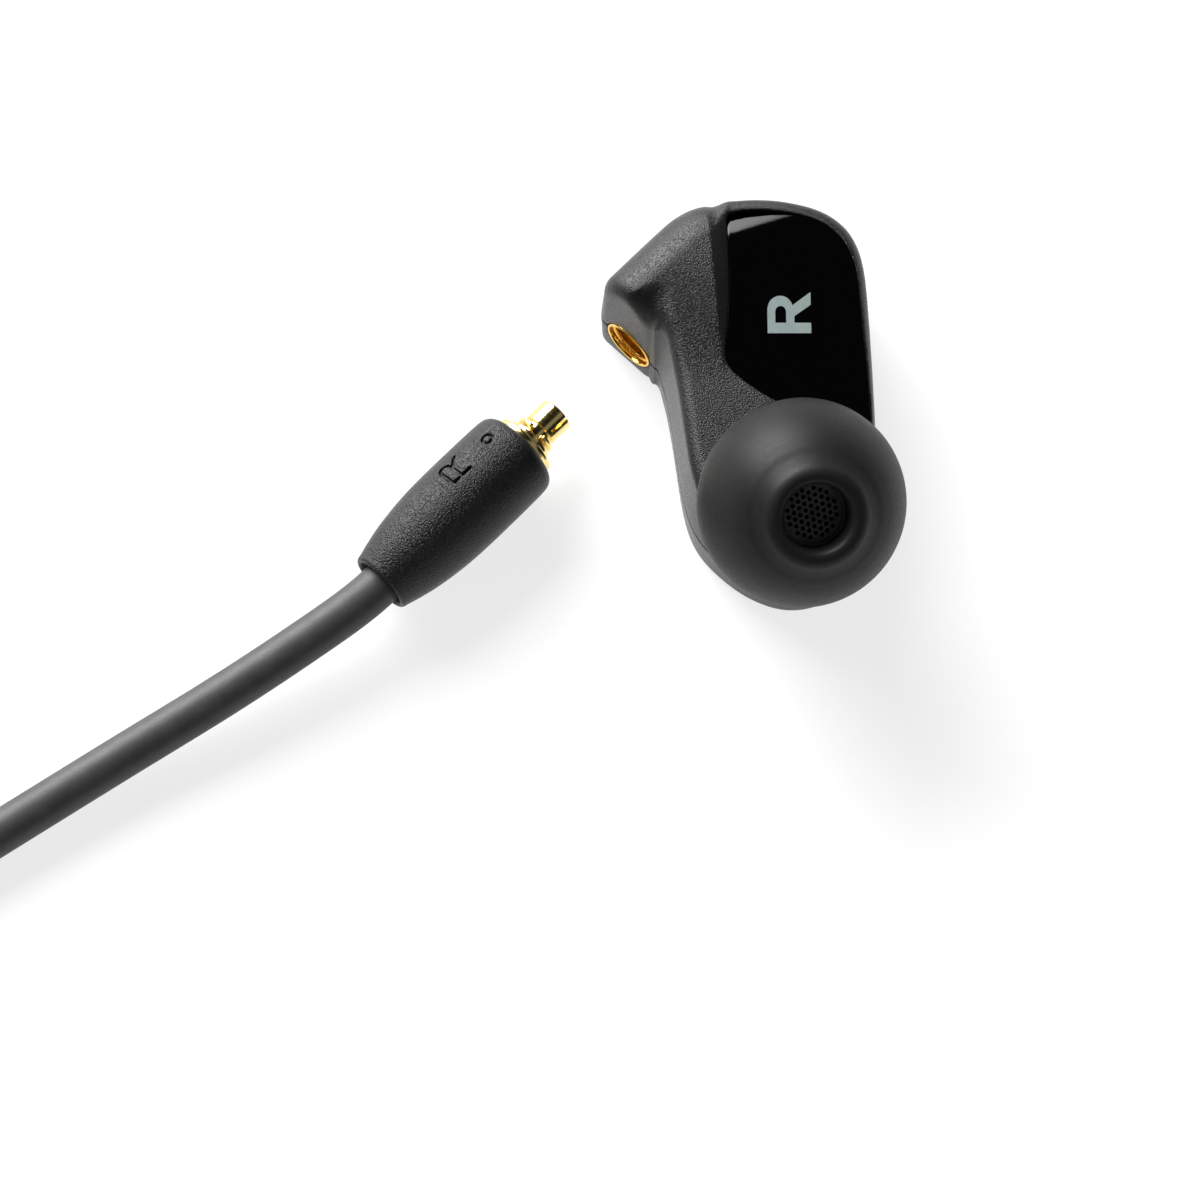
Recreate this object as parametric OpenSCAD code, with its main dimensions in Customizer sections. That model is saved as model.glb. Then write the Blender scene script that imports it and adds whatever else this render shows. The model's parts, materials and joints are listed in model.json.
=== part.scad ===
// Right in-ear monitor with a detachable coaxial cable plug, drawn unplugged.
// Millimetres, +Z up. The origin is the centre of the outer shell's flat face, which lies on z = 0.

/* [Housing] */
// Height of the matt ear side above the flat outer face
matt_top = 10.3; // [10:0.1:11]
// Height of the rim round the gloss panel
rim_top = 9.62; // [9.4:0.02:9.9]
// Height of the seam between the two shells
seam_z = 3.6; // [3.2:0.1:3.9]
// Open width of the seam
seam_gap = 0.04; // [0.02:0.01:0.1]
// Wall draft that every side has, before its rounding
wall_draft = 0.35; // [0.1:0.05:0.4]
// Rounding of the outer shell's lower edge
lower_round = 1.1; // [0.6:0.1:1.4]
// Floor of the outer shell
floor_t = 0.9; // [0.7:0.1:1.1]
// Height of the cavity's ceiling
ceiling_z = 8.2; // [8:0.1:8.3]

/* [Gloss panel] */
// Height of the panel's face
panel_z = 9.55; // [9.3:0.05:9.6]
// Thickness of the panel
panel_t = 0.65; // [0.5:0.05:0.7]

/* [Nozzle and ear tip] */
// Outside radius of the nozzle tube
nozzle_r = 2.3; // [2.2:0.05:2.35]
// Radius of the nozzle's bore
nozzle_bore_r = 1.8; // [1.5:0.05:1.8]
// Radius of the nozzle's retaining barb
barb_r = 2.5; // [2.4:0.02:2.5]
// Reach of the nozzle beyond its base
nozzle_end = 8.1; // [7.8:0.1:8.2]
// Spacing of the holes in the nozzle mesh
mesh_pitch = 0.42; // [0.4:0.02:0.6]
// Radius of each hole in the nozzle mesh
mesh_hole_r = 0.14; // [0.1:0.01:0.16]
// Radius of the ear tip at its widest
tip_r = 6.5; // [6:0.1:6.8]
// Radius of the ear tip's opening
tip_open_r = 2; // [1.8:0.05:2.1]

/* [Driver] */
// Outside radius of the driver
driver_r = 3.9; // [3.8:0.05:3.9]
// Travel of the diaphragm each way that the parts leave room for
excursion = 0.15; // [0.1:0.01:0.15]

/* [Socket and plug] */
// Heading of the socket's axis, counter-clockwise from +X
jack_angle = 46.2; // [45.6:0.1:46.6]
// Height of the socket's axis
jack_z = 3.3; // [3.2:0.05:3.4]
// Outside radius of the socket's ring
jack_r = 1.85; // [1.8:0.05:1.9]
// Radius of the socket's bore
jack_bore_r = 1.27; // [1.26:0.01:1.3]
// Outside radius of the plug's barrel
barrel_r = 1.17; // [1.1:0.01:1.18]
// Outside radius of the snap ring
snap_r = 1.42; // [1.3:0.01:1.42]
// Distance of the plug's flange from the socket's mouth, as it lies unplugged
unplugged = 9.46; // [6:0.01:12]
// Radius of the plug's flange
flange_r = 2.18; // [2:0.02:2.4]
// Greatest radius of the boot
boot_r = 3.08; // [2.9:0.02:3.1]
// Length of the boot
boot_len = 12.8; // [12:0.1:13]

/* [Cable] */
// Radius of the cable's jacket
cable_r = 1.39; // [1.3:0.01:1.4]
// Radius of the jacket's bore
jacket_bore_r = 0.9; // [0.8:0.05:0.95]
// Radius of each core
core_r = 0.36; // [0.3:0.02:0.4]

/* [Hidden] */
$fn = 64;
slip = 0.03;        // gap between pieces that are bonded or pressed together on the real object
cut = 0.5;          // how far a cutter runs past what it cuts

// ---- outlines ----
// The housing's plan at the seam, clockwise from the west corner of the socket arm. The first
// and the last three points hold the arm's flat end face, square to the socket's axis.
jack_dir = [cos(jack_angle), sin(jack_angle)];
jack_side = [sin(jack_angle), -cos(jack_angle)];
jack_mouth = [-10.2, 3.3];
function on_end(side, in) = jack_mouth + side * jack_side + in * jack_dir;
seam_plan = [
    on_end(-3.06, 0), on_end(-3.08, 0.9), [-8.82, 9.17], [-7.35, 10.55], [-5.7, 11.35], [-3.9, 11.3],
    [-2, 11.45], [0, 11.3], [2.3, 10.75], [3.9, 9.6], [4.8, 8.1], [5.25, 6.2], [5.42, 3.3],
    [5.58, -0.9], [5.68, -5], [5.5, -9], [4.5, -12], [2.6, -13.7], [0, -14.3], [-2.6, -13.4],
    [-4.8, -11.6], [-6.1, -9.9], [-6.75, -7.8], [-7.15, -4.9], [-7.6, -1.5], [-7.85, 0],
    on_end(3.2, -0.55), on_end(2.3, 0), on_end(1.9, 0), on_end(-2.5, 0)
];
// Where each of those points comes to at the edge of the top face.
top_plan = [
    on_end(-0.45, 0.2), on_end(-0.5, 0.8), [-7.6, 6.6], [-6.3, 7.5], [-5.2, 8.5], [-3.95, 9.75],
    [-2.1, 10.05], [-0.2, 9.95], [1.7, 9.5], [3, 8.6], [3.9, 7.3], [4.3, 5.9], [4.5, 3.3],
    [4.85, -0.9], [5, -4.9], [4.7, -8.3], [3.3, -10.2], [1.8, -11.2], [0, -11.5], [-2, -11.1],
    [-4, -10.2], [-5.3, -9], [-6.1, -7.3], [-6.45, -4.8], [-6.75, -1.9], [-7.25, -0.4],
    on_end(3, -0.2), on_end(2.1, 0.2), on_end(1.6, 0.2), on_end(-0.2, 0.2)
];
cavity_plan = [
    [-9.9, 6.3], [-8, 8.2], [-6.6, 9.5], [-5, 10.1], [-2, 10.4], [0.2, 10.25], [2, 9.75],
    [3.3, 8.8], [4.1, 7.3], [4.45, 4.5], [4.7, -1], [4.8, -5], [4.5, -8.8], [3.6, -11.4],
    [2, -12.7], [0, -13.2], [-2.2, -12.5], [-4.1, -10.9], [-5.25, -9.3], [-5.85, -7.5],
    [-6.3, -4.5], [-6.8, -0.5], [-7.3, 2.2], [-7.5, 3.9]
];
panel_plan = [
    [-3.95, 9.65], [-3.3, 9.85], [-2.4, 9.98], [-0.9, 9.95], [0.98, 9.6], [2.3, 9.05],
    [3.4, 8.05], [4.1, 6.6], [4.36, 5.15], [4.54, 1.9], [4.8, -1.1], [4.95, -4.7], [4.9, -6.6],
    [4.3, -7.1], [3.4, -6.3], [1.9, -4.9], [0, -3.75], [-1.65, -2.75], [-2.8, -1.9],
    [-3.8, -1], [-4.15, -0.1], [-3.95, 2], [-3.8, 4.2], [-3.82, 8]
];
panel_centre = [0.5, 2.5];

// One round of corner cutting, which turns a coarse outline into a smooth one.
function smooth(p) = [
    for (i = [0:len(p) - 1]) let (q = p[(i + 1) % len(p)])
        each [0.75 * p[i] + 0.25 * q, 0.25 * p[i] + 0.75 * q]
];
function lift(p, z) = [for (q = p) [q.x, q.y, z]];
function scaled(p, centre, k) = [for (q = p) centre + k * (q - centre)];

// The matt face falls towards the ear tip, and the rim on the panel's side stays low.
step_line_x = -4.4;
function top_height(q) = q.x > step_line_x ? rim_top
    : rim_top + (matt_top - rim_top) * max(0, min(1, (q.y + 1) / 6.5));

// A ring of the ear side shell: t = 0 at the seam, 1 where the rounding starts, 2 at the top face.
function shell_point(i, t) =
    let (
        b = seam_plan[i], e = top_plan[i], inset = norm(e - b), way = (e - b) / inset,
        drafted = min(wall_draft, 0.4 * inset), high = top_height(e),
        start = max(seam_z + 1, high - 1.2 * inset), turn = 90 * max(0, t - 1),
        d = drafted * min(1, t) + (inset - drafted) * (1 - cos(turn)),
        z = seam_z + seam_gap / 2 + (start - seam_z - seam_gap / 2) * min(1, t)
            + (high - start) * sin(turn)
    ) [b.x + d * way.x, b.y + d * way.y, z];
function shell_ring(t) = smooth([for (i = [0:len(seam_plan) - 1]) shell_point(i, t)]);

// A ring of the outer shell: turn = 0 where its lower rounding starts, 90 at the flat face.
function lower_point(i, turn) =
    let (
        b = seam_plan[i], e = top_plan[i], inset = min(lower_round, norm(e - b)),
        way = (e - b) / norm(e - b), d = inset * (1 - cos(turn))
    ) [b.x + d * way.x, b.y + d * way.y, lower_round * (1 - sin(turn))];
function lower_ring(turn) = smooth([for (i = [0:len(seam_plan) - 1]) lower_point(i, turn)]);

// A closed solid through rings of equal length, each cap drawn to the middle of its ring.
module rings(list, low_mid, high_mid) {
    n = len(list[0]);
    m = len(list);
    points = [for (r = list) each r, low_mid, high_mid];
    sides = [for (j = [0:m - 2], i = [0:n - 1]) let (k = (i + 1) % n)
        each [[j * n + i, (j + 1) * n + k, (j + 1) * n + i], [j * n + i, j * n + k, (j + 1) * n + k]]];
    low = [for (i = [0:n - 1]) [n * m, (i + 1) % n, i]];
    high = [for (i = [0:n - 1]) [n * m + 1, (m - 1) * n + i, (m - 1) * n + (i + 1) % n]];
    polyhedron(points, concat(sides, low, high), convexity = 6);
}

// ---- frames ----
// Local +Z runs out along the nozzle from its base.
nozzle_base = [-0.05, -9.03, 8.5];
nozzle_tilt = 30.7;         // from upright
nozzle_heading = -77.35;    // of the lean, counter-clockwise from +X
module along_nozzle() {
    translate(nozzle_base) rotate([0, 0, nozzle_heading]) rotate([0, nozzle_tilt, 0]) children();
}
// Local +Z runs into the housing along the socket's axis, from the socket's mouth.
module along_jack() {
    translate([jack_mouth.x, jack_mouth.y, jack_z]) rotate([0, 0, jack_angle]) rotate([0, 90, 0])
        children();
}
// The same frame, moved back to where the plug lies. Local z = 0 is the front of its flange.
module along_plug() { along_jack() translate([0, 0, -unplugged]) children(); }
module tube(r, bore, low, high) {
    translate([0, 0, low]) difference() {
        cylinder(r = r, h = high - low);
        translate([0, 0, -cut]) cylinder(r = bore, h = high - low + 2 * cut);
    }
}
module rod(r, low, high) { translate([0, 0, low]) cylinder(r = r, h = high - low); }

// ---- housing ----
module cavity(low, high) {
    wide = smooth(cavity_plan);
    middle = [-1, -1];
    rings([lift(wide, low), lift(wide, min(6, high - 0.1)), lift(scaled(wide, middle, 0.82), high)],
        [middle.x, middle.y, low], [middle.x, middle.y, high]);
}
module jack_cutters() {
    along_jack() {
        rod(jack_r + slip, -cut, flange_front);
        rod(jack_flange_r + slip, flange_front - slip, flange_back + slip);
        rod(jack_tail_r + slip, flange_back, jack_back + 1.7);
    }
}
module outer_shell() {
    color([0.1, 0.1, 0.1]) difference() {
        rings([lower_ring(90), lower_ring(60), lower_ring(30), lower_ring(0),
            lift(smooth(seam_plan), seam_z - seam_gap / 2)], [-1, -1, 0], [-1, -1, seam_z - seam_gap / 2]);
        cavity(floor_t, seam_z + cut);
        jack_cutters();
        translate([vent_at.x, vent_at.y, -cut]) cylinder(r = vent_r, h = floor_t + 2 * cut);
    }
}
// The nozzle's seat: a collar outside the shell and a driver tube inside it, in one with the shell.
// The cutter leaves steps for the driver, for a cone in front of it, and for the nozzle's foot and tube.
driver_seat_r = driver_r + 0.05;
module nozzle_seat() {
    rod(driver_seat_r + 0.6, -4.7, -1.8);
    translate([0, 0, -1.81]) cylinder(r1 = driver_seat_r + 0.35, r2 = 3.1, h = 3.2);
}
module nozzle_seat_cutter() {
    rod(driver_seat_r, -4.7 - cut, -2.95);
    translate([0, 0, -2.96]) cylinder(r1 = 3.4, r2 = 2.9, h = 0.98);
    rod(2.8, -2, -1.5);
    rod(nozzle_r + slip, -1.6, 4);
}
module inner_shell() {
    color([0.12, 0.12, 0.12]) difference() {
        union() {
            difference() {
                rings([for (t = [0, 1, 1.25, 1.5, 1.75, 2]) shell_ring(t)],
                    [-1, -1, seam_z + seam_gap / 2], [-4.7, 3.2, matt_top - 0.1]);
                cavity(seam_z - cut, ceiling_z);
            }
            along_nozzle() nozzle_seat();
        }
        along_nozzle() nozzle_seat_cutter();
        jack_cutters();
        translate([0, 0, panel_z - panel_t - slip]) linear_extrude(3)
            polygon(scaled(smooth(panel_plan), panel_centre, 1.006));
        translate([0, 0, rim_top]) linear_extrude(3) polygon(step_plan);
    }
}
// The low ground on the panel's side of the step.
step_plan = [
    [-5.1, 12.5], [-4.95, 8.56], [-4.69, 5.6], [-4.45, 2.55], [-4.3, -0.5], [-4.5, -4], [8, -4], [8, 12.5]
];
module gloss_panel() {
    color([0.03, 0.03, 0.03]) translate([0, 0, panel_z - panel_t]) linear_extrude(panel_t)
        polygon(smooth(panel_plan));
}
vent_at = [0.5, 5];
vent_r = 0.4;
module vent_filter() {
    color([0.5, 0.5, 0.5]) translate([vent_at.x, vent_at.y, floor_t + slip]) cylinder(r = 1.1, h = 0.15);
}

// ---- nozzle ----
mesh_z = nozzle_end - 0.38;
module nozzle() {
    color([0.2, 0.2, 0.2]) along_nozzle() difference() {
        union() {
            rod(2.76, -1.98, -1.52);
            rod(nozzle_r, -1.6, nozzle_end);
            translate([0, 0, 5.8]) cylinder(r1 = nozzle_r, r2 = barb_r, h = 0.3);
            rod(barb_r, 6.1, 7.2);
            translate([0, 0, 7.2]) cylinder(r1 = barb_r, r2 = nozzle_r, h = 0.6);
        }
        rod(nozzle_bore_r, -2 - cut, nozzle_end + cut);
        rod(nozzle_bore_r + 0.28, mesh_z - 0.02, nozzle_end + cut);
    }
}
module nozzle_mesh() {
    reach = nozzle_bore_r - mesh_hole_r - 0.05;
    rows = ceil(reach / mesh_pitch) + 1;
    color([0.55, 0.55, 0.55]) along_nozzle() translate([0, 0, mesh_z]) linear_extrude(0.08)
        difference() {
            circle(r = nozzle_bore_r + 0.25);
            for (i = [-rows:rows], j = [-rows:rows]) {
                at = mesh_pitch * [i + j / 2, j * sin(60)];
                if (norm(at) < reach) translate(at) circle(r = mesh_hole_r);
            }
        }
}
module mesh_ring() {
    color([0.6, 0.6, 0.6]) along_nozzle()
        tube(nozzle_bore_r + 0.25, nozzle_bore_r + 0.05, mesh_z + 0.1, nozzle_end - 0.03);
}
module acoustic_damper() {
    color([0.3, 0.4, 0.3]) along_nozzle() rod(nozzle_bore_r - slip, 0.5, 3);
}

// ---- driver, in line with the nozzle ----
coil_r = 1.97;
magnet_r = 1.75;
plate_r = 1.85;
cover_low = -3.3;
yoke_floor = -5.8;
diaphragm_z = cover_low - excursion - 0.15;
coil_low = yoke_floor + excursion + 0.15;
module driver_frame() {
    color([0.7, 0.7, 0.72]) along_nozzle() rotate_extrude() polygon([
        [2.95, -4.6], [driver_r, -4.6], [driver_r, -3.5], [3.6, -3.5], [3.6, -4.2], [2.95, -4.2]
    ]);
}
module driver_yoke() {
    color([0.6, 0.6, 0.62]) along_nozzle() rotate_extrude() polygon([
        [0, -6.2], [2.9, -6.2], [2.9, -4.25], [2.35, -4.25], [2.35, yoke_floor], [0, yoke_floor]
    ]);
}
module driver_magnet() { color([0.4, 0.4, 0.42]) along_nozzle() rod(magnet_r, yoke_floor + 0.02, -4.95); }
module driver_pole_plate() { color([0.6, 0.6, 0.62]) along_nozzle() rod(plate_r, -4.93, -4.45); }
module driver_cover() {
    color([0.7, 0.7, 0.72]) along_nozzle() difference() {
        union() {
            rod(driver_r - 0.02, cover_low, -3.05);
            tube(driver_r - 0.02, 3.6, -3.48, -3.2);
        }
        for (k = [0:5]) rotate([0, 0, 60 * k]) translate([2.2, 0, 0]) rod(0.5, -4, -2);
        rod(0.5, -4, -2);
    }
}
module driver_terminal() {
    board = [1.3, 2.2, 0.3];
    color([0.1, 0.35, 0.2]) along_nozzle() translate([-2.3, -board.y / 2, -6.55]) cube(board);
}
module diaphragm() {
    skin = 0.05;
    line = [
        [0, 0], [0.9, -0.06], [1.6, -0.2], [1.95, -0.37], [2.2, -0.37], [2.5, -0.16],
        [3.1, -0.16], [3.45, -0.35], [3.56, -0.35]
    ];
    color([0.8, 0.75, 0.6]) along_nozzle() translate([0, 0, diaphragm_z]) rotate_extrude()
        polygon(concat(line, [for (i = [len(line) - 1:-1:0]) line[i] - [0, skin]]));
}
module voice_coil() {
    color([0.8, 0.45, 0.2]) along_nozzle() tube(coil_r + 0.22, coil_r, coil_low, diaphragm_z - 0.44);
}

// ---- leads from the socket to the driver ----
lead_r = 0.12;
module lead(points) {
    for (i = [0:len(points) - 2]) let (a = points[i], b = points[i + 1], d = b - a)
        translate(a) rotate([0, acos(d.z / norm(d)), atan2(d.y, d.x)]) cylinder(r = lead_r, h = norm(d));
    for (i = [1:len(points) - 2]) translate(points[i]) sphere(r = lead_r + 0.03);
}
function at_jack(side, up, in) = [for (k = [0, 1]) on_end(side, in)[k], jack_z + up];
module signal_lead() {
    color([0.8, 0.2, 0.15]) lead([at_jack(0, 0, 5.2), at_jack(0.4, 0.4, 6.2), [-4.6, 3.5, 4.3],
        [-3.4, -1.5, 4.3], [-1.5, -3.6, 3.4], [-1.25, -4.35, 3.35]]);
}
module ground_lead() {
    color([0.2, 0.4, 0.7]) lead([at_jack(1.45, 0, 4.6), at_jack(1.6, 0.2, 5.6), [-4.7, 2.6, 3.4],
        [-2.6, -1.6, 3.4], [-0.5, -3.4, 3], [-0.25, -4.35, 3.2]]);
}

// ---- socket ----
// The snap ring passes the lip and opens out in the groove behind it. The land behind that guides
// the plug's barrel, and the wider chamber behind the land holds the insulator.
jack_flange_r = 2.3;
flange_front = 1.2;
flange_back = 1.68;
jack_tail_r = 1.6;
jack_back = 4.3;
counterbore_r = 1.66;
lip_r = 1.46;
lip_start = 0.42;
lip_end = 0.56;
groove_r = 1.63;
land_start = 1.05;
land_end = 1.6;
chamber_r = jack_bore_r + 0.18;
contact_r = 0.42;
module jack_shell() {
    color([0.85, 0.65, 0.3]) along_jack() rotate_extrude() polygon([
        [counterbore_r, 0], [jack_r - 0.12, 0], [jack_r, 0.12], [jack_r, flange_front],
        [jack_flange_r, flange_front], [jack_flange_r, flange_back], [jack_tail_r, flange_back],
        [jack_tail_r, jack_back], [chamber_r, jack_back], [chamber_r, land_end],
        [jack_bore_r, land_end], [jack_bore_r, land_start], [groove_r, land_start],
        [groove_r, lip_end], [lip_r, lip_end], [lip_r, lip_start], [counterbore_r, lip_start]
    ]);
}
module jack_insulator() {
    color([0.92, 0.9, 0.85]) along_jack() tube(chamber_r - slip, contact_r + slip, 3.05, jack_back);
}
module jack_contact() {
    color([0.85, 0.65, 0.3]) along_jack() difference() {
        rod(contact_r, land_end + 0.05, 5);
        rod(0.24, 1, 3.2);
    }
}

// ---- ear tip ----
module ear_tip() {
    core_r = barb_r + 0.03;
    core_low = 2.75;
    color([0.24, 0.24, 0.24]) along_nozzle() rotate_extrude() polygon([
        [tip_open_r, 9.72], [2.2, 10.02], [2.6, 10.12], [3.1, 9.94], [3.5, 9.5], [3.9, 9.06],
        [4.4, 8.62], [5, 7.92], [5.6, 6.98], [6.1, 5.85], [6.4, 4.8], [tip_r, 4],
        [tip_r - 0.04, 3.3], [6.34, 2.95], [6.14, 2.82], [5.98, 2.95], [6, 3.6], [5.85, 4.8],
        [5.5, 5.9], [4.9, 6.9], [4.2, 7.6], [3.7, 7.75], [3.4, 7.4], [3.2, 6.4],
        [3.15, core_low + 0.2], [2.95, core_low], [core_r, core_low], [core_r, nozzle_end + 0.15],
        [tip_open_r, nozzle_end + 0.15]
    ]);
}

// ---- plug ----
// The barrel's front carries two slots, and its neck the snap ring. The shank sits in the boot.
tip_z = 2.9;
neck_r = 0.96;
neck_low = 0.55;
neck_high = 1.25;
slot_w = 0.2;
slot_long = 1.4;
slot_heading = 228;
ring_r = 1.6;
plug_bore_r = 0.62;
step_bore_r = 0.42;   // the bore behind its step, which holds the insulator from behind
bore_step = -1;
shank_r = 1.5;
shank_end = -3;
crimp_r = 1.1;
crimp_end = -5;
pin_r = 0.2;
module plug_barrel() {
    color([0.85, 0.65, 0.3]) along_plug() difference() {
        rotate_extrude() polygon([
            [plug_bore_r, tip_z], [barrel_r - 0.12, tip_z], [barrel_r, tip_z - 0.12],
            [barrel_r, neck_high], [neck_r, neck_high], [neck_r, neck_low], [barrel_r, neck_low],
            [barrel_r, 0.37], [ring_r, 0.37], [ring_r, 0], [flange_r - 0.08, 0], [flange_r, -0.08],
            [flange_r, -0.47], [shank_r, -0.47], [shank_r, shank_end], [crimp_r, shank_end],
            [crimp_r, crimp_end], [step_bore_r, crimp_end], [step_bore_r, bore_step],
            [plug_bore_r, bore_step]
        ]);
        for (turn = [0, 180]) rotate([0, 0, slot_heading + turn])
            translate([0.3, -slot_w / 2, tip_z - slot_long]) cube([2, slot_w, 2]);
    }
}
// A split spring ring. Its outside is crowned, so that it rides over the socket's lip.
snap_gap = 43;
snap_heading = 215;   // where the ring starts, just past its gap
snap_low = 0.65;
snap_high = 0.98;
module snap_ring() {
    inside = neck_r + slip;
    color([0.8, 0.62, 0.3]) along_plug() rotate([0, 0, snap_heading])
        rotate_extrude(angle = 360 - snap_gap) polygon([
            [inside, snap_low], [snap_r - 0.05, snap_low], [snap_r, (snap_low + snap_high) / 2],
            [snap_r - 0.05, snap_high], [inside, snap_high]
        ]);
}
module plug_insulator() {
    inside = pin_r + slip;
    back = crimp_end + 0.2;
    front = tip_z - slot_long - 0.3;
    color([0.92, 0.9, 0.85]) along_plug() rotate_extrude() polygon([
        [inside, back], [step_bore_r - slip, back], [step_bore_r - slip, bore_step + slip],
        [plug_bore_r - slip, bore_step + slip], [plug_bore_r - slip, front], [inside, front]
    ]);
}
module plug_pin() { color([0.85, 0.65, 0.3]) along_plug() rod(pin_r, crimp_end - 0.2, tip_z - 0.35); }
module crimp_ferrule() {
    color([0.7, 0.7, 0.7]) along_plug()
        tube(1.46, crimp_r + slip, crimp_end + 0.1, shank_end - 0.05);
}
module plug_boot() {
    back = -0.5 - boot_len;
    color([0.11, 0.11, 0.11]) along_plug() rotate_extrude() polygon([
        [shank_r + slip, -0.5], [2.3, -0.53], [2.72, -0.68], [2.97, -1.1], [boot_r, -1.9],
        [boot_r, back + 5.8], [boot_r - 0.06, back + 4.4], [boot_r - 0.22, back + 3],
        [boot_r - 0.47, back + 1.7], [boot_r - 0.78, back + 0.6], [boot_r - 0.92, back + 0.12],
        [boot_r - 1.03, back], [1.78, back], [1.7, back + 0.15], [1.62, back + 0.7],
        [cable_r + slip, back + 0.8], [cable_r + slip, -5.35], [shank_r + slip, -5.35]
    ]);
}

// ---- cable ----
// A chain of straight lengths. Each one but the first starts at a pivot, in a hollow round the
// ball end of the length before it.
boot_back = unplugged + 0.5 + boot_len;
cable_start = at_jack(0, 0, -unplugged - 5.4);
bend_at = [
    at_jack(0, 0, -boot_back - 1.2), [-30, -16.4, 2.95], [-35.6, -20.15, 2.35],
    [-43.25, -24.95, 1.7], [-56, -33.35, 1.42]
];
hollow_r = cable_r + 0.05;
ball_end = 0.9;     // where the ball is cut off flat, past its middle
module length_of_cable(from, to) {
    d = to - from;
    translate(from) rotate([0, acos(d.z / norm(d)), atan2(d.y, d.x)]) children();
}
module jacket(from, to, hollow, ball) {
    long = norm(to - from);
    color([0.36, 0.36, 0.37]) length_of_cable(from, to) difference() {
        union() {
            cylinder(r = cable_r, h = long);
            if (ball) translate([0, 0, long]) sphere(r = cable_r);
        }
        translate([0, 0, -cut]) cylinder(r = jacket_bore_r, h = long + 4 * cut);
        if (ball) translate([0, 0, long + ball_end]) cylinder(r = cable_r, h = 2);
        if (hollow) sphere(r = hollow_r);
    }
}
// The cores stop short of each pivot and start again clear of the ball behind it.
module cores(from, to, start, stop) {
    long = norm(to - from);
    color([0.75, 0.4, 0.2]) length_of_cable(from, to) for (side = [-0.4, 0.4])
        translate([0, side, start]) cylinder(r = core_r, h = long - start - stop);
}
past_ball = ball_end + 0.3;
short_of_pivot = 0.3;
module cable_jacket_0() { jacket(cable_start, bend_at[0], false, true); }
module cable_jacket_1() { jacket(bend_at[0], bend_at[1], true, true); }
module cable_jacket_2() { jacket(bend_at[1], bend_at[2], true, true); }
module cable_jacket_3() { jacket(bend_at[2], bend_at[3], true, true); }
module cable_jacket_4() { jacket(bend_at[3], bend_at[4], true, false); }
module cable_cores_0() { cores(cable_start, bend_at[0], 0.3, short_of_pivot); }
module cable_cores_1() { cores(bend_at[0], bend_at[1], past_ball, short_of_pivot); }
module cable_cores_2() { cores(bend_at[1], bend_at[2], past_ball, short_of_pivot); }
module cable_cores_3() { cores(bend_at[2], bend_at[3], past_ball, short_of_pivot); }
module cable_cores_4() { cores(bend_at[3], bend_at[4], past_ball, 0); }

outer_shell();
inner_shell();
gloss_panel();
nozzle();
nozzle_mesh();
mesh_ring();
acoustic_damper();
driver_frame();
driver_yoke();
driver_magnet();
driver_pole_plate();
driver_cover();
driver_terminal();
diaphragm();
voice_coil();
vent_filter();
signal_lead();
ground_lead();
jack_shell();
jack_insulator();
jack_contact();
ear_tip();
snap_ring();
plug_barrel();
plug_insulator();
plug_pin();
crimp_ferrule();
plug_boot();
cable_jacket_0();
cable_jacket_1();
cable_jacket_2();
cable_jacket_3();
cable_jacket_4();
cable_cores_0();
cable_cores_1();
cable_cores_2();
cable_cores_3();
cable_cores_4();
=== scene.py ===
import json
import math

import bmesh
import bpy
import numpy as np
from mathutils import Matrix, Vector


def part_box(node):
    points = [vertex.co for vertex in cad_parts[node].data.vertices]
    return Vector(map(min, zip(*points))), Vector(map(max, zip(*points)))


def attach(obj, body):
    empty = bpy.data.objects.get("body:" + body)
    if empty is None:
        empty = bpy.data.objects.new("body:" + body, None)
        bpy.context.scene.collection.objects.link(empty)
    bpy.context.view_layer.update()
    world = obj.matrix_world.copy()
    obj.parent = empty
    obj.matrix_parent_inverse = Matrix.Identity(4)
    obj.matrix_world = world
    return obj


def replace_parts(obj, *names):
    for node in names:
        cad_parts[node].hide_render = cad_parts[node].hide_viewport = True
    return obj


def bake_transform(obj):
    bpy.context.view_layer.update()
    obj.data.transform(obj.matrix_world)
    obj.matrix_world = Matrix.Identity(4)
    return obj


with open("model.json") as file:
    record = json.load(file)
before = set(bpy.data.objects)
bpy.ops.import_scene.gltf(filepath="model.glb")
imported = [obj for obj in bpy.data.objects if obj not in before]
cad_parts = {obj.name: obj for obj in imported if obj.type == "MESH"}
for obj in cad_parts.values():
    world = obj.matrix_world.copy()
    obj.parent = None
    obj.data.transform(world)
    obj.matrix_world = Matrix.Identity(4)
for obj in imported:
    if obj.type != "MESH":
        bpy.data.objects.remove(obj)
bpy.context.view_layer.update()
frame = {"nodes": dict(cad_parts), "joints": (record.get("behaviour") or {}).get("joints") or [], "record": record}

# Lengths in this script are millimetres, with +Z up from the table. MM turns them into Blender's metres.
MM = 0.001
JOINTS = {j["name"]: j for j in frame["joints"]}
MOUNTS = {m["name"]: m for m in frame["record"]["mounts"]}


def unit(v):
    v = np.array(v, float)
    return v / np.linalg.norm(v)


def mm(point):
    """A point or box corner of the frame, from metres."""
    return np.array(point, float) / MM


# ---------------------------------------------------------------- frames
class Axes:
    """A local frame: its origin, and its z along a given direction."""

    def __init__(self, origin, z, x_near):
        self.o = np.array(origin, float)
        self.z = unit(z)
        self.x = unit(np.array(x_near, float) - np.dot(x_near, self.z) * self.z)
        self.y = np.cross(self.z, self.x)

    def local(self, x, y, z):
        d = (x - self.o[0], y - self.o[1], z - self.o[2])
        return [sum(d[i] * e[i] for i in range(3)) for e in (self.x, self.y, self.z)]

    def world(self, p):
        p = np.asarray(p, float)
        return self.o + p[..., 0:1] * self.x + p[..., 1:2] * self.y + p[..., 2:3] * self.z


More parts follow.
